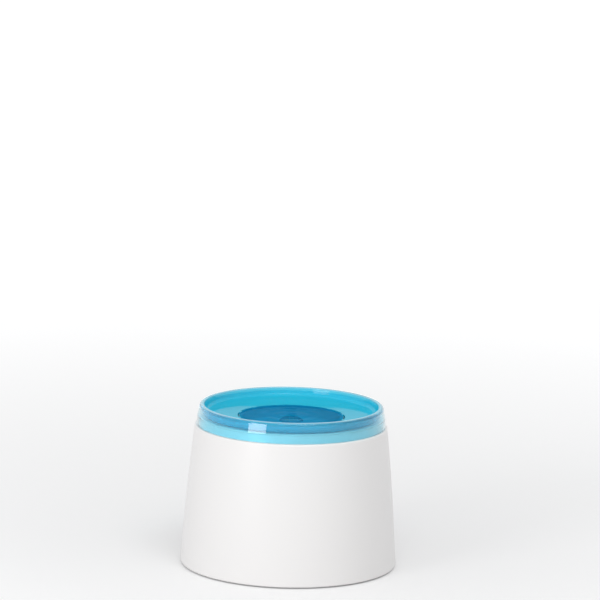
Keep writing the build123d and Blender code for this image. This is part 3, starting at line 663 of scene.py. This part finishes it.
@dataclass(frozen=True)
class CarbonPouch:
    """Thin fleece drawn over carbon granules, which show through it, with painted light and shade on the
    granules.

    Attributes:
        name: the material's name.
        fleece: colour of the fleece.
        fibre: width of the fleece's strands.
        cover: how well the fleece covers, along the noise that makes its strands.
        granule: width of one granule.
        granule_painted_shade: painted light and shade, how pale a granule is from its lighter middle out to
            the dark gap.
        granule_share: how much of the relief comes from the granules, the rest from the strands.
        depth: depth of that relief.
    """

    name: str
    fleece: Colour = (0.3, 0.31, 0.32, 1.0)
    fibre: float = 0.45 * MM
    cover: Levels = ((0.42, 0.0), (0.62, 1.0))
    granule: float = 1.8 * MM
    granule_painted_shade: Levels = ((0.1, 0.09), (0.55, 0.04), (0.9, 0.012))
    granule_share: float = 0.7
    depth: float = 0.5 * MM

    def material(self) -> bpy.types.Material:
        """Build the finish.

        Returns:
            The material.
        """
        graph = Graph.named(self.name)
        gaps = graph.cells(self.granule)
        strands = graph.clouds(self.fibre, detail=3.0)
        # Granules lighter in the middle and darker towards the gaps between them: painted light and shade.
        carbon = graph.ramp(gaps, shades(WHITE, self.granule_painted_shade))
        cover = graph.ramp(strands, shades(WHITE, self.cover))
        relief = (1 - gaps) * self.granule_share + strands * (1 - self.granule_share)
        return graph.output(graph.principled({
            "Base Color": graph.blend(cover, carbon, self.fleece),
            "Roughness": 0.85,
            "Sheen Weight": 0.1,
            "Normal": graph.bump(relief, self.depth),
        }))


@dataclass(frozen=True)
class PoolWater:
    """Clear water with a glossy surface over what lies under it.

    Attributes:
        name: the material's name.
        tint: what the water does to the light that passes.
        mirror: colour of what the surface mirrors, seen from above.
        mirror_edge: the same, seen along the surface.
        ripple: width of one ripple.
        ripple_depth: depth of the ripples.
    """

    name: str
    tint: Colour
    mirror: Colour = (0.05, 0.42, 0.6, 1.0)
    mirror_edge: Colour = (0.36, 0.66, 0.84, 1.0)
    ripple: float = 7 * MM
    ripple_depth: float = 0.12 * MM

    def material(self) -> bpy.types.Material:
        """Build the finish.

        Returns:
            The material.
        """
        graph = Graph.named(self.name)
        normal = graph.bump(graph.clouds(self.ripple), self.ripple_depth)
        mirror = graph.principled({
            "Base Color": self.mirror,
            "Specular Tint": self.mirror_edge,
            "Metallic": 1.0,
            "Roughness": 0.015,
            "Normal": normal,
        })
        mirrored = graph.node("ShaderNodeFresnel", sockets={"IOR": 1.33, "Normal": normal})
        return graph.output(graph.mixed(mirrored, graph.see_through(self.tint), mirror))


HOUSING_WHITE = MouldedPlastic("housing_white_gloss", (0.855, 0.842, 0.835, 1.0), roughness=0.3,
                               grain=0.8 * MM, grain_depth=0.002 * MM, unevenness=0.012, shift=0.008)
TUB_WHITE = MouldedPlastic("tub_white_satin", (0.78, 0.78, 0.77, 1.0), roughness=0.38)
TRAY_WHITE = MouldedPlastic("tray_white_matt", (0.76, 0.77, 0.78, 1.0), roughness=0.5,
                            grain=0.5 * MM, grain_depth=0.015 * MM)
BASE_GREY = MouldedPlastic("base_grey_matt", (0.62, 0.62, 0.62, 1.0), roughness=0.55,
                           grain=0.6 * MM, grain_depth=0.03 * MM)
PUMP_BLACK = MouldedPlastic("pump_black", (0.022, 0.022, 0.025, 1.0), roughness=0.42,
                            grain=0.45 * MM, grain_depth=0.02 * MM, unevenness=0.16, shift=0.2)
RESIN_BLACK = MouldedPlastic("potting_resin", (0.018, 0.018, 0.02, 1.0), roughness=0.12,
                             grain=6 * MM, grain_depth=0.15 * MM, unevenness=0.08, shift=0.2)
IMPELLER_WHITE = MouldedPlastic("impeller_white", (0.74, 0.74, 0.7, 1.0), roughness=0.45)

BLUE_TINT: Colour = (0.2, 0.82, 0.94, 1.0)
BLUE_SHADE: Colour = (0.5, 0.82, 0.9, 1.0)
BLUE_MILK: Colour = (0.03, 0.58, 0.78, 1.0)
COVER_BLUE = ClearPlastic("cover_clear_blue", BLUE_TINT, body=0.72, milk=BLUE_MILK, gloss=0.15,
                          polish_index=1.25, shade=BLUE_SHADE, zones=CoverZones())
NOZZLE_BLUE = ClearPlastic("nozzle_clear_blue", BLUE_TINT, body=0.32, milk=BLUE_MILK, shade=BLUE_SHADE)
RISER_CLEAR = ClearPlastic("riser_clear", (0.9, 0.93, 0.95, 1.0), body=0.08, milk=(0.75, 0.8, 0.82, 1.0))

FOOT_RUBBER = Elastomer("foot_rubber", (0.16, 0.16, 0.165, 1.0), roughness=0.7)
BLACK_RUBBER = Elastomer("black_rubber", (0.02, 0.02, 0.02, 1.0), roughness=0.62, bloom=0.5)
CUP_SILICONE = Elastomer("cup_silicone", (0.75, 0.78, 0.78, 1.0), roughness=0.3, bloom=0.05, see_through=0.6)
LEAD_SHEATH = Elastomer("lead_sheath", (0.022, 0.022, 0.022, 1.0), roughness=0.5, bloom=0.4)

CORE_STEEL = HardSurface("core_steel", (0.4, 0.4, 0.42, 1.0), metallic=1.0, roughness=0.45,
                         grain=Grain.STACKED)
SCREW_STEEL = HardSurface("screw_steel", (0.6, 0.6, 0.62, 1.0), metallic=1.0, roughness=0.32,
                          grain=Grain.BRUSHED)
CONTACT_METAL = HardSurface("contact_nickel", (0.7, 0.68, 0.64, 1.0), metallic=1.0, roughness=0.2)
FERRITE = HardSurface("ferrite_magnet", (0.05, 0.05, 0.055, 1.0), metallic=0.2, roughness=0.5)
CERAMIC = HardSurface("ceramic_shaft", (0.85, 0.84, 0.8, 1.0), metallic=0.0, roughness=0.25)
COPPER = CopperWinding("coil_copper", (0.62, 0.28, 0.12, 1.0))

FOAM_WHITE = OpenFoam("filter_foam", (0.8, 0.81, 0.79, 1.0), cell=1.3 * MM, depth=0.7 * MM)
SPONGE_BLUE = OpenFoam("intake_sponge", (0.07, 0.13, 0.22, 1.0), cell=1.6 * MM, depth=0.9 * MM)
CARBON = CarbonPouch("carbon_pouch")
WATER = PoolWater("pool_water", (0.32, 0.8, 0.94, 1.0))


# -------------------- mesh making
def rooted(value: float, power: float) -> float:
    """A number's size raised to a power, with the number's own sign."""
    return math.copysign(abs(value) ** power, value)


def linked(name: str, data: bpy.types.ID) -> bpy.types.Object:
    """Put a mesh, lamp or camera into the scene.

    Args:
        name: the object's name.
        data: what the object shows.

    Returns:
        The new object.
    """
    made = bpy.data.objects.new(name, data)
    bpy.context.scene.collection.objects.link(made)
    return made


def skin(name: str, rings: Sequence[Sequence[Point]], cyclic: bool,
         closed: Sequence[int]) -> bpy.types.Object:
    """Join closed rings of points into one smooth mesh.

    Args:
        name: the piece's name.
        rings: rings with the same number of points each.
        cyclic: whether the last ring joins the first.
        closed: rings that are closed to a middle point, 0 for the first and -1 for the last.

    Returns:
        The new object, in the scene.
    """
    count = len(rings[0])
    points = [point for ring in rings for point in ring]
    faces = []
    for i in range(len(rings) if cyclic else len(rings) - 1):
        low, high = i * count, (i + 1) % len(rings) * count
        for j in range(count):
            k = (j + 1) % count
            faces.append((low + j, low + k, high + k, high + j))
    for end in closed:
        start = end % len(rings) * count
        middle = sum((Vector(points[start + j]) for j in range(count)), Vector()) / count
        points.append(tuple(middle))
        for j in range(count):
            side = (start + j, start + (j + 1) % count)
            faces.append((*(side if end else reversed(side)), len(points) - 1))
    mesh = bpy.data.meshes.new(name)
    mesh.from_pydata(points, [], faces)
    mesh.shade_smooth()
    return linked(name, mesh)


def roughen(piece: bpy.types.Object, depth: float, size: float) -> None:
    """Sink a piece's surface here and there, as cells and granules do.

    Args:
        piece: the piece.
        depth: the most that a point sinks.
        size: width of one dent.
    """
    mesh = piece.data
    normals = [vertex.normal.copy() for vertex in mesh.vertices]
    for vertex, normal in zip(mesh.vertices, normals):
        dent = 0.5 + 0.5 * noise.noise(vertex.co / size)
        vertex.co -= normal * (dent * depth)


def dress(piece: bpy.types.Object, finish: Finish) -> None:
    """Give a piece one finish all over.

    Args:
        piece: a CAD node's object or a new piece.
        finish: its finish, which is built once and then shared.
    """
    material = bpy.data.materials.get(finish.name) or finish.material()
    if not piece.material_slots:
        piece.data.materials.append(material)
    for slot in piece.material_slots:
        slot.material = material
    LOG.info("%s: %s", piece.name, finish.name)


# -------------------- sub-assemblies
class Assembly:
    """A sub-assembly, whose rigid CAD nodes keep their shapes and get their finishes.

    Attributes:
        rigid: the finish of each of those nodes.
    """

    rigid: ClassVar[Mapping[str, Finish]]

    def build(self) -> None:
        """Dress the rigid nodes."""
        for node, finish in self.rigid.items():
            dress(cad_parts[node], finish)


class Shell(Assembly):
    """The white housing, the water tub that hangs in it and the underside that closes it."""

    rigid = {
        "outer_housing": HOUSING_WHITE,
        "reservoir_tub": TUB_WHITE,
        "base_plate": BASE_GREY,
        "base_screws": SCREW_STEEL,
        "rubber_feet": FOOT_RUBBER,
    }


class PowerInlet(Assembly):
    """The low-voltage socket at the back and the lead that joins it to the pump."""

    rigid = {
        "power_socket": PUMP_BLACK,
        "socket_pin": CONTACT_METAL,
        "socket_nut": CONTACT_METAL,
        "socket_washer": BLACK_RUBBER,
        "pump_lead": LEAD_SHEATH,
        "lead_grommet": BLACK_RUBBER,
    }


@dataclass(frozen=True)
class SoftLayer:
    """One soft layer of the filter.

    Attributes:
        name: the piece's name.
        node: the CAD node that it stands for.
        slot: name of the record's material slot for this layer; not used.
        finish: its finish.
        fill: how tightly it is filled; not used.
        side_power: how squarely its section turns at its sides; 1 is round and 0 is square.
        face_power: the same at its top and bottom.
        half_height: from its middle to its faces, as a share of the node's height.
        dent_depth: the most that a point of its surface sinks.
        dent_size: width of one dent.
    """

    name: str
    node: str
    slot: str
    finish: Finish
    fill: float
    side_power: float
    face_power: float
    half_height: float
    dent_depth: float
    dent_size: float

    def section(self, part: float) -> tuple[float, float]:
        """One point of the layer's section.

        Args:
            part: how far round the section the point lies, from 0 to 1.

        Returns:
            Share of the width, hole to edge, and share of the height.
        """
        turn = FULL_TURN * part
        across, up = (value if abs(value) > NEARLY_NOUGHT else 0.0
                      for value in (math.cos(turn), math.sin(turn)))
        return (0.5 + 0.5 * rooted(across, self.side_power),
                0.5 + self.half_height * rooted(up, self.face_power))


FOAM_LAYER = SoftLayer("filter_foam", "foam_pad", "foam_white", FOAM_WHITE, fill=1.0, side_power=0.06,
                       face_power=0.3, half_height=0.48, dent_depth=0.22 * MM, dent_size=1.6 * MM)
CARBON_LAYER = SoftLayer("carbon_pouch", "carbon_bed", "carbon_black", CARBON, fill=0.8, side_power=0.5,
                         face_power=0.45, half_height=0.46, dent_depth=0.35 * MM, dent_size=2.2 * MM)


@dataclass(frozen=True)
class FilterSet(Assembly):
    """The filter tray with its grid and its soft layers, which have a notch that clears the pump's lead.

    Attributes:
        notch_floor: from the middle to the notch's floor.
        notch_half_width: half the notch's width.
        notch_flare: how far each side of the notch leans outward, as a turn about Z.
        turns: sections round each layer.
        steps: points round each section.
        layers: the layers, the lowest first.
    """

    rigid = {"filter_tray": TRAY_WHITE, "filter_grid": TRAY_WHITE}
    notch_floor: float = 66.0 * MM
    notch_half_width: float = 8.1 * MM
    notch_flare: float = 0.008
    turns: int = 288
    steps: int = 96
    layers: tuple[SoftLayer, ...] = (FOAM_LAYER, CARBON_LAYER)

    def directions(self, corner: float) -> list[float]:
        """Directions about Z, counted from +Y, in which a layer gets a section.

        Args:
            corner: direction of the notch's corner.

        Returns:
            Even steps all round, with two more at each side of the notch to keep it sharp.
        """
        even = [math.remainder(FULL_TURN * i / self.turns, FULL_TURN) for i in range(self.turns)]
        flared = corner + self.notch_flare
        return sorted([*even, corner, flared, -corner, -flared])

    def piece(self, layer: SoftLayer) -> bpy.types.Object:
        """Build one layer as a closed skin round the riser's hole.

        Args:
            layer: which layer.

        Returns:
            The new piece.
        """
        low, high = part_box(layer.node)
        hole = min(math.hypot(v.co.x, v.co.y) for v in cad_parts[layer.node].data.vertices)
        corner = math.atan(self.notch_half_width / self.notch_floor)
        section = [layer.section(j / self.steps) for j in range(self.steps)]
        rings = []
        for angle in self.directions(corner):
            outer = self.notch_floor / math.cos(angle) if abs(angle) <= corner else high.x
            ring = []
            for across, up in section:
                radius = hole + (outer - hole) * across
                ring.append((radius * math.sin(angle), radius * math.cos(angle),
                             low.z + (high.z - low.z) * up))
            rings.append(ring)
        return skin(layer.name, rings, cyclic=True, closed=())

    def build(self) -> None:
        """Dress the tray and its grid, and make the foam and the carbon pouch."""
        super().build()
        for layer in self.layers:
            piece = self.piece(layer)
            roughen(piece, layer.dent_depth, layer.dent_size)
            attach(piece, "filter")
            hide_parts(layer.node)
            dress(piece, layer.finish)


@dataclass(frozen=True)
class IntakeSponge:
    """The sponge inside the pump's intake cover.

    Attributes:
        corner: how square its section is; smaller is squarer.
        end_size: size of its front and back faces, as a share of its middle.
        end_power: how late it narrows towards them; larger is later.
        dent_depth: the most that a point of its surface sinks.
        dent_size: width of one dent.
        turns: points round a section.
        steps: sections from back to front.
    """

    corner: float = 0.22
    end_size: float = 0.88
    end_power: int = 9
    dent_depth: float = 0.5 * MM
    dent_size: float = 1.5 * MM
    turns: int = 96
    steps: int = 28

    def build(self) -> None:
        """Make the sponge in the space of its CAD node."""
        low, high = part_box("prefilter_sponge")
        middle, half = (low + high) / 2, (high - low) / 2
        rings = []
        for i in range(self.steps + 1):
            along = 1 - 2 * i / self.steps
            swell = (1 - abs(along) ** self.end_power) ** 0.5 * (1 - self.end_size) + self.end_size
            ring = []
            for j in range(self.turns):
                turn = FULL_TURN * j / self.turns
                x, z = rooted(math.cos(turn), self.corner), rooted(math.sin(turn), self.corner)
                ring.append((middle.x + half.x * x * swell, middle.y + half.y * along,
                             middle.z + half.z * z * swell))
            rings.append(ring)
        sponge = skin("intake_sponge", rings, cyclic=False, closed=(0, -1))
        roughen(sponge, self.dent_depth, self.dent_size)
        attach(sponge, "intake")
        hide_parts("prefilter_sponge")
        dress(sponge, SPONGE_BLUE)


class Pump(Assembly):
    """The submersible pump with the sponge in its intake."""

    rigid = {
        "pump_housing": PUMP_BLACK,
        "stator_core": CORE_STEEL,
        "stator_coil": COPPER,
        "potting": RESIN_BLACK,
        "volute": PUMP_BLACK,
        "volute_seal": BLACK_RUBBER,
        "rotor_magnet": FERRITE,
        "impeller": IMPELLER_WHITE,
        "impeller_shaft": CERAMIC,
        "shaft_bushes": BLACK_RUBBER,
        "intake_cover": PUMP_BLACK,
        "flow_dial": IMPELLER_WHITE,
        "suction_cups": CUP_SILICONE,
    }

    def build(self) -> None:
        """Dress the pump and make its sponge."""
        super().build()
        IntakeSponge().build()


@dataclass(frozen=True)
class Pool:
    """Water that stands in the pan and runs over its level edge.

    Attributes:
        below_rim: from the cover's rim down to the still water.
        edge: radius where the film reaches the return slots.
        edge_fall: from the still water down to the film there.
        fall_start: radius where the water begins to fall to that film.
        mound_height: height of the mound over the nozzle.
        mound_radius: radius where the mound has sunk to about a third.
        wave_height: height of the rings that spread from the mound.
        wave_width: width of one ring.
        calm_radius: radius where they have died down.
        drift_height: height of the slow uneven swell.
        drift_rate: how many of its swells there are to a metre.
        fade_start: radius where rings and swell begin to fade towards the edge.
        ring_count: rings of the surface's mesh.
        turns: points round each ring.
    """

    below_rim: float = 10.5 * MM
    edge: float = 50.3 * MM
    edge_fall: float = 0.44 * MM
    fall_start: float = 44 * MM
    mound_height: float = 0.9 * MM
    mound_radius: float = 7 * MM
    wave_height: float = 0.12 * MM
    wave_width: float = FULL_TURN * 2.1 * MM
    calm_radius: float = 46 * MM
    drift_height: float = 0.09 * MM
    drift_rate: float = 60.0
    fade_start: float = 40 * MM
    ring_count: int = 56
    turns: int = 160

    def share(self, radius: float, start: float) -> float:
        """How far a radius lies from a start towards the edge, from 0 to 1."""
        return max(0.0, (radius - start) / (self.edge - start))

    def height(self, radius: float, angle: float) -> float:
        """Height of the water's surface.

        Args:
            radius: distance from the middle.
            angle: direction about Z.

        Returns:
            The height over the still water.
        """
        mound = self.mound_height * math.exp(-(radius / self.mound_radius) ** 2)
        calm = max(0.0, 1 - radius / self.calm_radius)
        waves = self.wave_height * calm * math.cos(FULL_TURN * radius / self.wave_width)
        place = Vector((radius * math.cos(angle), radius * math.sin(angle), 0))
        drift = self.drift_height * noise.noise(place * self.drift_rate)
        fall = self.edge_fall * self.share(radius, self.fall_start) ** 2
        return mound + (waves + drift) * (1 - self.share(radius, self.fade_start)) - fall

    def build(self) -> None:
        """Make the water's surface and let it ride on the cover."""
        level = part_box("drinking_cover")[1].z - self.below_rim
        rings = []
        for i in range(self.ring_count):
            radius = self.edge * (1 - i / self.ring_count)
            ring = []
            for j in range(self.turns):
                angle = FULL_TURN * j / self.turns
                ring.append((radius * math.cos(angle), radius * math.sin(angle),
                             level + self.height(radius, angle)))
            rings.append(ring)
        water = skin("pool_water", rings, cyclic=False, closed=(-1,))
        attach(water, "cover")
        dress(water, WATER)


class DrinkingCover(Assembly):
    """The clear cover with its dish, the nozzle and riser that feed it, and the water in it."""

    rigid = {
        "drinking_cover": COVER_BLUE,
        "bubbler_nozzle": NOZZLE_BLUE,
        "riser_tube": RISER_CLEAR,
    }

    def build(self) -> None:
        """Dress the cover, nozzle and riser, and fill the pool."""
        super().build()
        Pool().build()


# -------------------- the studio
@dataclass(frozen=True)
class Softbox:
    """One soft lamp that faces the object.

    Attributes:
        name: the lamp's name.
        azimuth: direction that it stands in, in degrees from the front to the right.
        elevation: above the floor, in degrees.
        distance: from the object.
        size: width and height.
        power: in watts.
    """

    name: str
    azimuth: float
    elevation: float
    distance: float
    size: tuple[float, float]
    power: float

    def build(self, target: Vector) -> None:
        """Make the lamp.

        Args:
            target: the point that it faces.
        """
        around, up = math.radians(self.azimuth), math.radians(self.elevation)
        away = Vector((math.sin(around) * math.cos(up), -math.cos(around) * math.cos(up), math.sin(up)))
        data = bpy.data.lights.new(self.name, "AREA")
        data.shape = "RECTANGLE"
        data.size, data.size_y = self.size
        data.energy = self.power
        lamp = linked(self.name, data)
        lamp.location = target + away * self.distance
        lamp.rotation_euler = away.to_track_quat("Z", "Y").to_euler()


SOFTBOXES = (
    Softbox("key_left", azimuth=-41, elevation=14, distance=1.9, size=(0.72, 0.56), power=8.6),
    Softbox("front_top", azimuth=8, elevation=52, distance=2.2, size=(1.4, 1.0), power=9.2),
    Softbox("back_top", azimuth=25, elevation=62, distance=2.2, size=(1.2, 0.8), power=5.0),
)


@dataclass(frozen=True)
class Studio:
    """Camera, lamps, air and floor.

    Attributes:
        look_at: the point of the object that the camera is set out from.
        distance: from that point to the camera.
        elevation: of the camera above that point, in degrees.
        roll: how far the camera is turned about its own axis, in degrees.
        picture: width of the picture in pixels, for the next two.
        focal: focal length in pixels.
        aim: where that point falls in the picture, in pixels right and up of its middle.
        sensor: width of the sensor in millimetres.
        reach: how far the camera sees.
        air: colour of the surroundings.
        air_light: strength at which they light the object.
        air_shown: strength at which they are seen.
        floor_half: half the floor's width.
        floor_level: how pale the floor is under the lamps.
        painted_shade_reach: distance from the object where the floor glows most and its painted shade ends.
        glow_levels_painted_shade: the glow along that distance, weaker near the object, which paints shade
            round it.
    """

    look_at: Point = (0.0, 0.0, 0.07)
    distance: float = 3.455
    elevation: float = 13.15
    roll: float = 1.36
    picture: int = 600
    focal: float = 3542
    aim: tuple[float, float] = (-10.5, -192.2)
    sensor: float = 36.0
    reach: float = 60.0
    air: Colour = (0.985, 0.99, 1.0, 1.0)
    air_light: float = 0.62
    air_shown: float = 1.0
    floor_half: float = 15.0
    floor_level: float = 0.8
    painted_shade_reach: float = 2.5
    glow_levels_painted_shade: Levels = ((0.04, 0.13), (0.16, 0.21), (0.5, 0.42), (1.0, 0.6))

    def camera(self) -> None:
        """Make the camera, aimed by turning it, with no shift."""
        tilt, roll = math.radians(self.elevation), math.radians(self.roll)
        ahead = Vector((0, math.cos(tilt), -math.sin(tilt)))
        right = Vector((1, 0, 0))
        above = Vector((0, math.sin(tilt), math.cos(tilt)))
        rolled_right = right * math.cos(roll) + above * math.sin(roll)
        rolled_above = above * math.cos(roll) - right * math.sin(roll)
        aim_right, aim_up = (pixels / self.focal for pixels in self.aim)
        aim = (ahead - rolled_right * aim_right - rolled_above * aim_up).normalized()
        side = (rolled_right - aim * rolled_right.dot(aim)).normalized()
        data = bpy.data.cameras.new("camera")
        data.sensor_width = self.sensor
        data.lens = self.sensor * (self.focal / self.picture)
        data.clip_end = self.reach
        camera = linked("camera", data)
        turn = Matrix((side, side.cross(aim), -aim)).transposed().to_4x4()
        camera.matrix_world = Matrix.Translation(Vector(self.look_at) - ahead * self.distance) @ turn
        bpy.context.scene.camera = camera

    def world(self) -> None:
        """Make the surroundings: a plain level of light, and full white where they are seen."""
        graph = Graph(bpy.data.worlds.new("studio_air"))
        lit, shown = (graph.node("ShaderNodeBackground", sockets={"Color": self.air, "Strength": strength})
                      for strength in (self.air_light, self.air_shown))
        bpy.context.scene.world = graph.output(graph.mixed(graph.seen(), lit, shown))

    def paper(self) -> bpy.types.Material:
        """The floor's finish: it takes the object's shadow and glows white where it is seen, but less near
        the object, which paints shade round it.

        Returns:
            The material.
        """
        graph = Graph.named("floor_paper")
        base = shaded(WHITE, self.floor_level)
        paper = graph.principled({"Base Color": base, "Roughness": 0.9, "Specular IOR Level": 0.1})
        # The glow rises with distance from the object: a white backdrop far off, painted shade near the
        # object.
        far = graph.length(graph.place()) * (1 / self.painted_shade_reach)
        colour = graph.ramp(far, shades(WHITE, self.glow_levels_painted_shade))
        glow = graph.node("ShaderNodeEmission", sockets={"Color": colour})
        glowing = graph.node("ShaderNodeAddShader", sockets={0: paper, 1: glow})
        return graph.output(graph.mixed(graph.seen(), paper, glowing))

    def floor(self) -> None:
        """Make the pale floor."""
        half = self.floor_half
        mesh = bpy.data.meshes.new("floor")
        corners = [(-half, -half, 0), (half, -half, 0), (half, half, 0), (-half, half, 0)]
        mesh.from_pydata(corners, [], [(0, 1, 2, 3)])
        floor = linked("floor", mesh)
        floor.data.materials.append(self.paper())

    def build(self) -> None:
        """Set up the whole studio."""
        bpy.context.scene.view_settings.view_transform = "Standard"
        self.camera()
        for softbox in SOFTBOXES:
            softbox.build(Vector(self.look_at))
        self.world()
        self.floor()
        LOG.info("studio: camera, lamps, air and floor")


def main() -> None:
    """Build the studio and every sub-assembly."""
    logging.basicConfig(level=logging.INFO, format="%(message)s")
    for part in (Studio(), Shell(), PowerInlet(), FilterSet(), Pump(), DrinkingCover()):
        part.build()


if __name__ == "__main__":
    main()
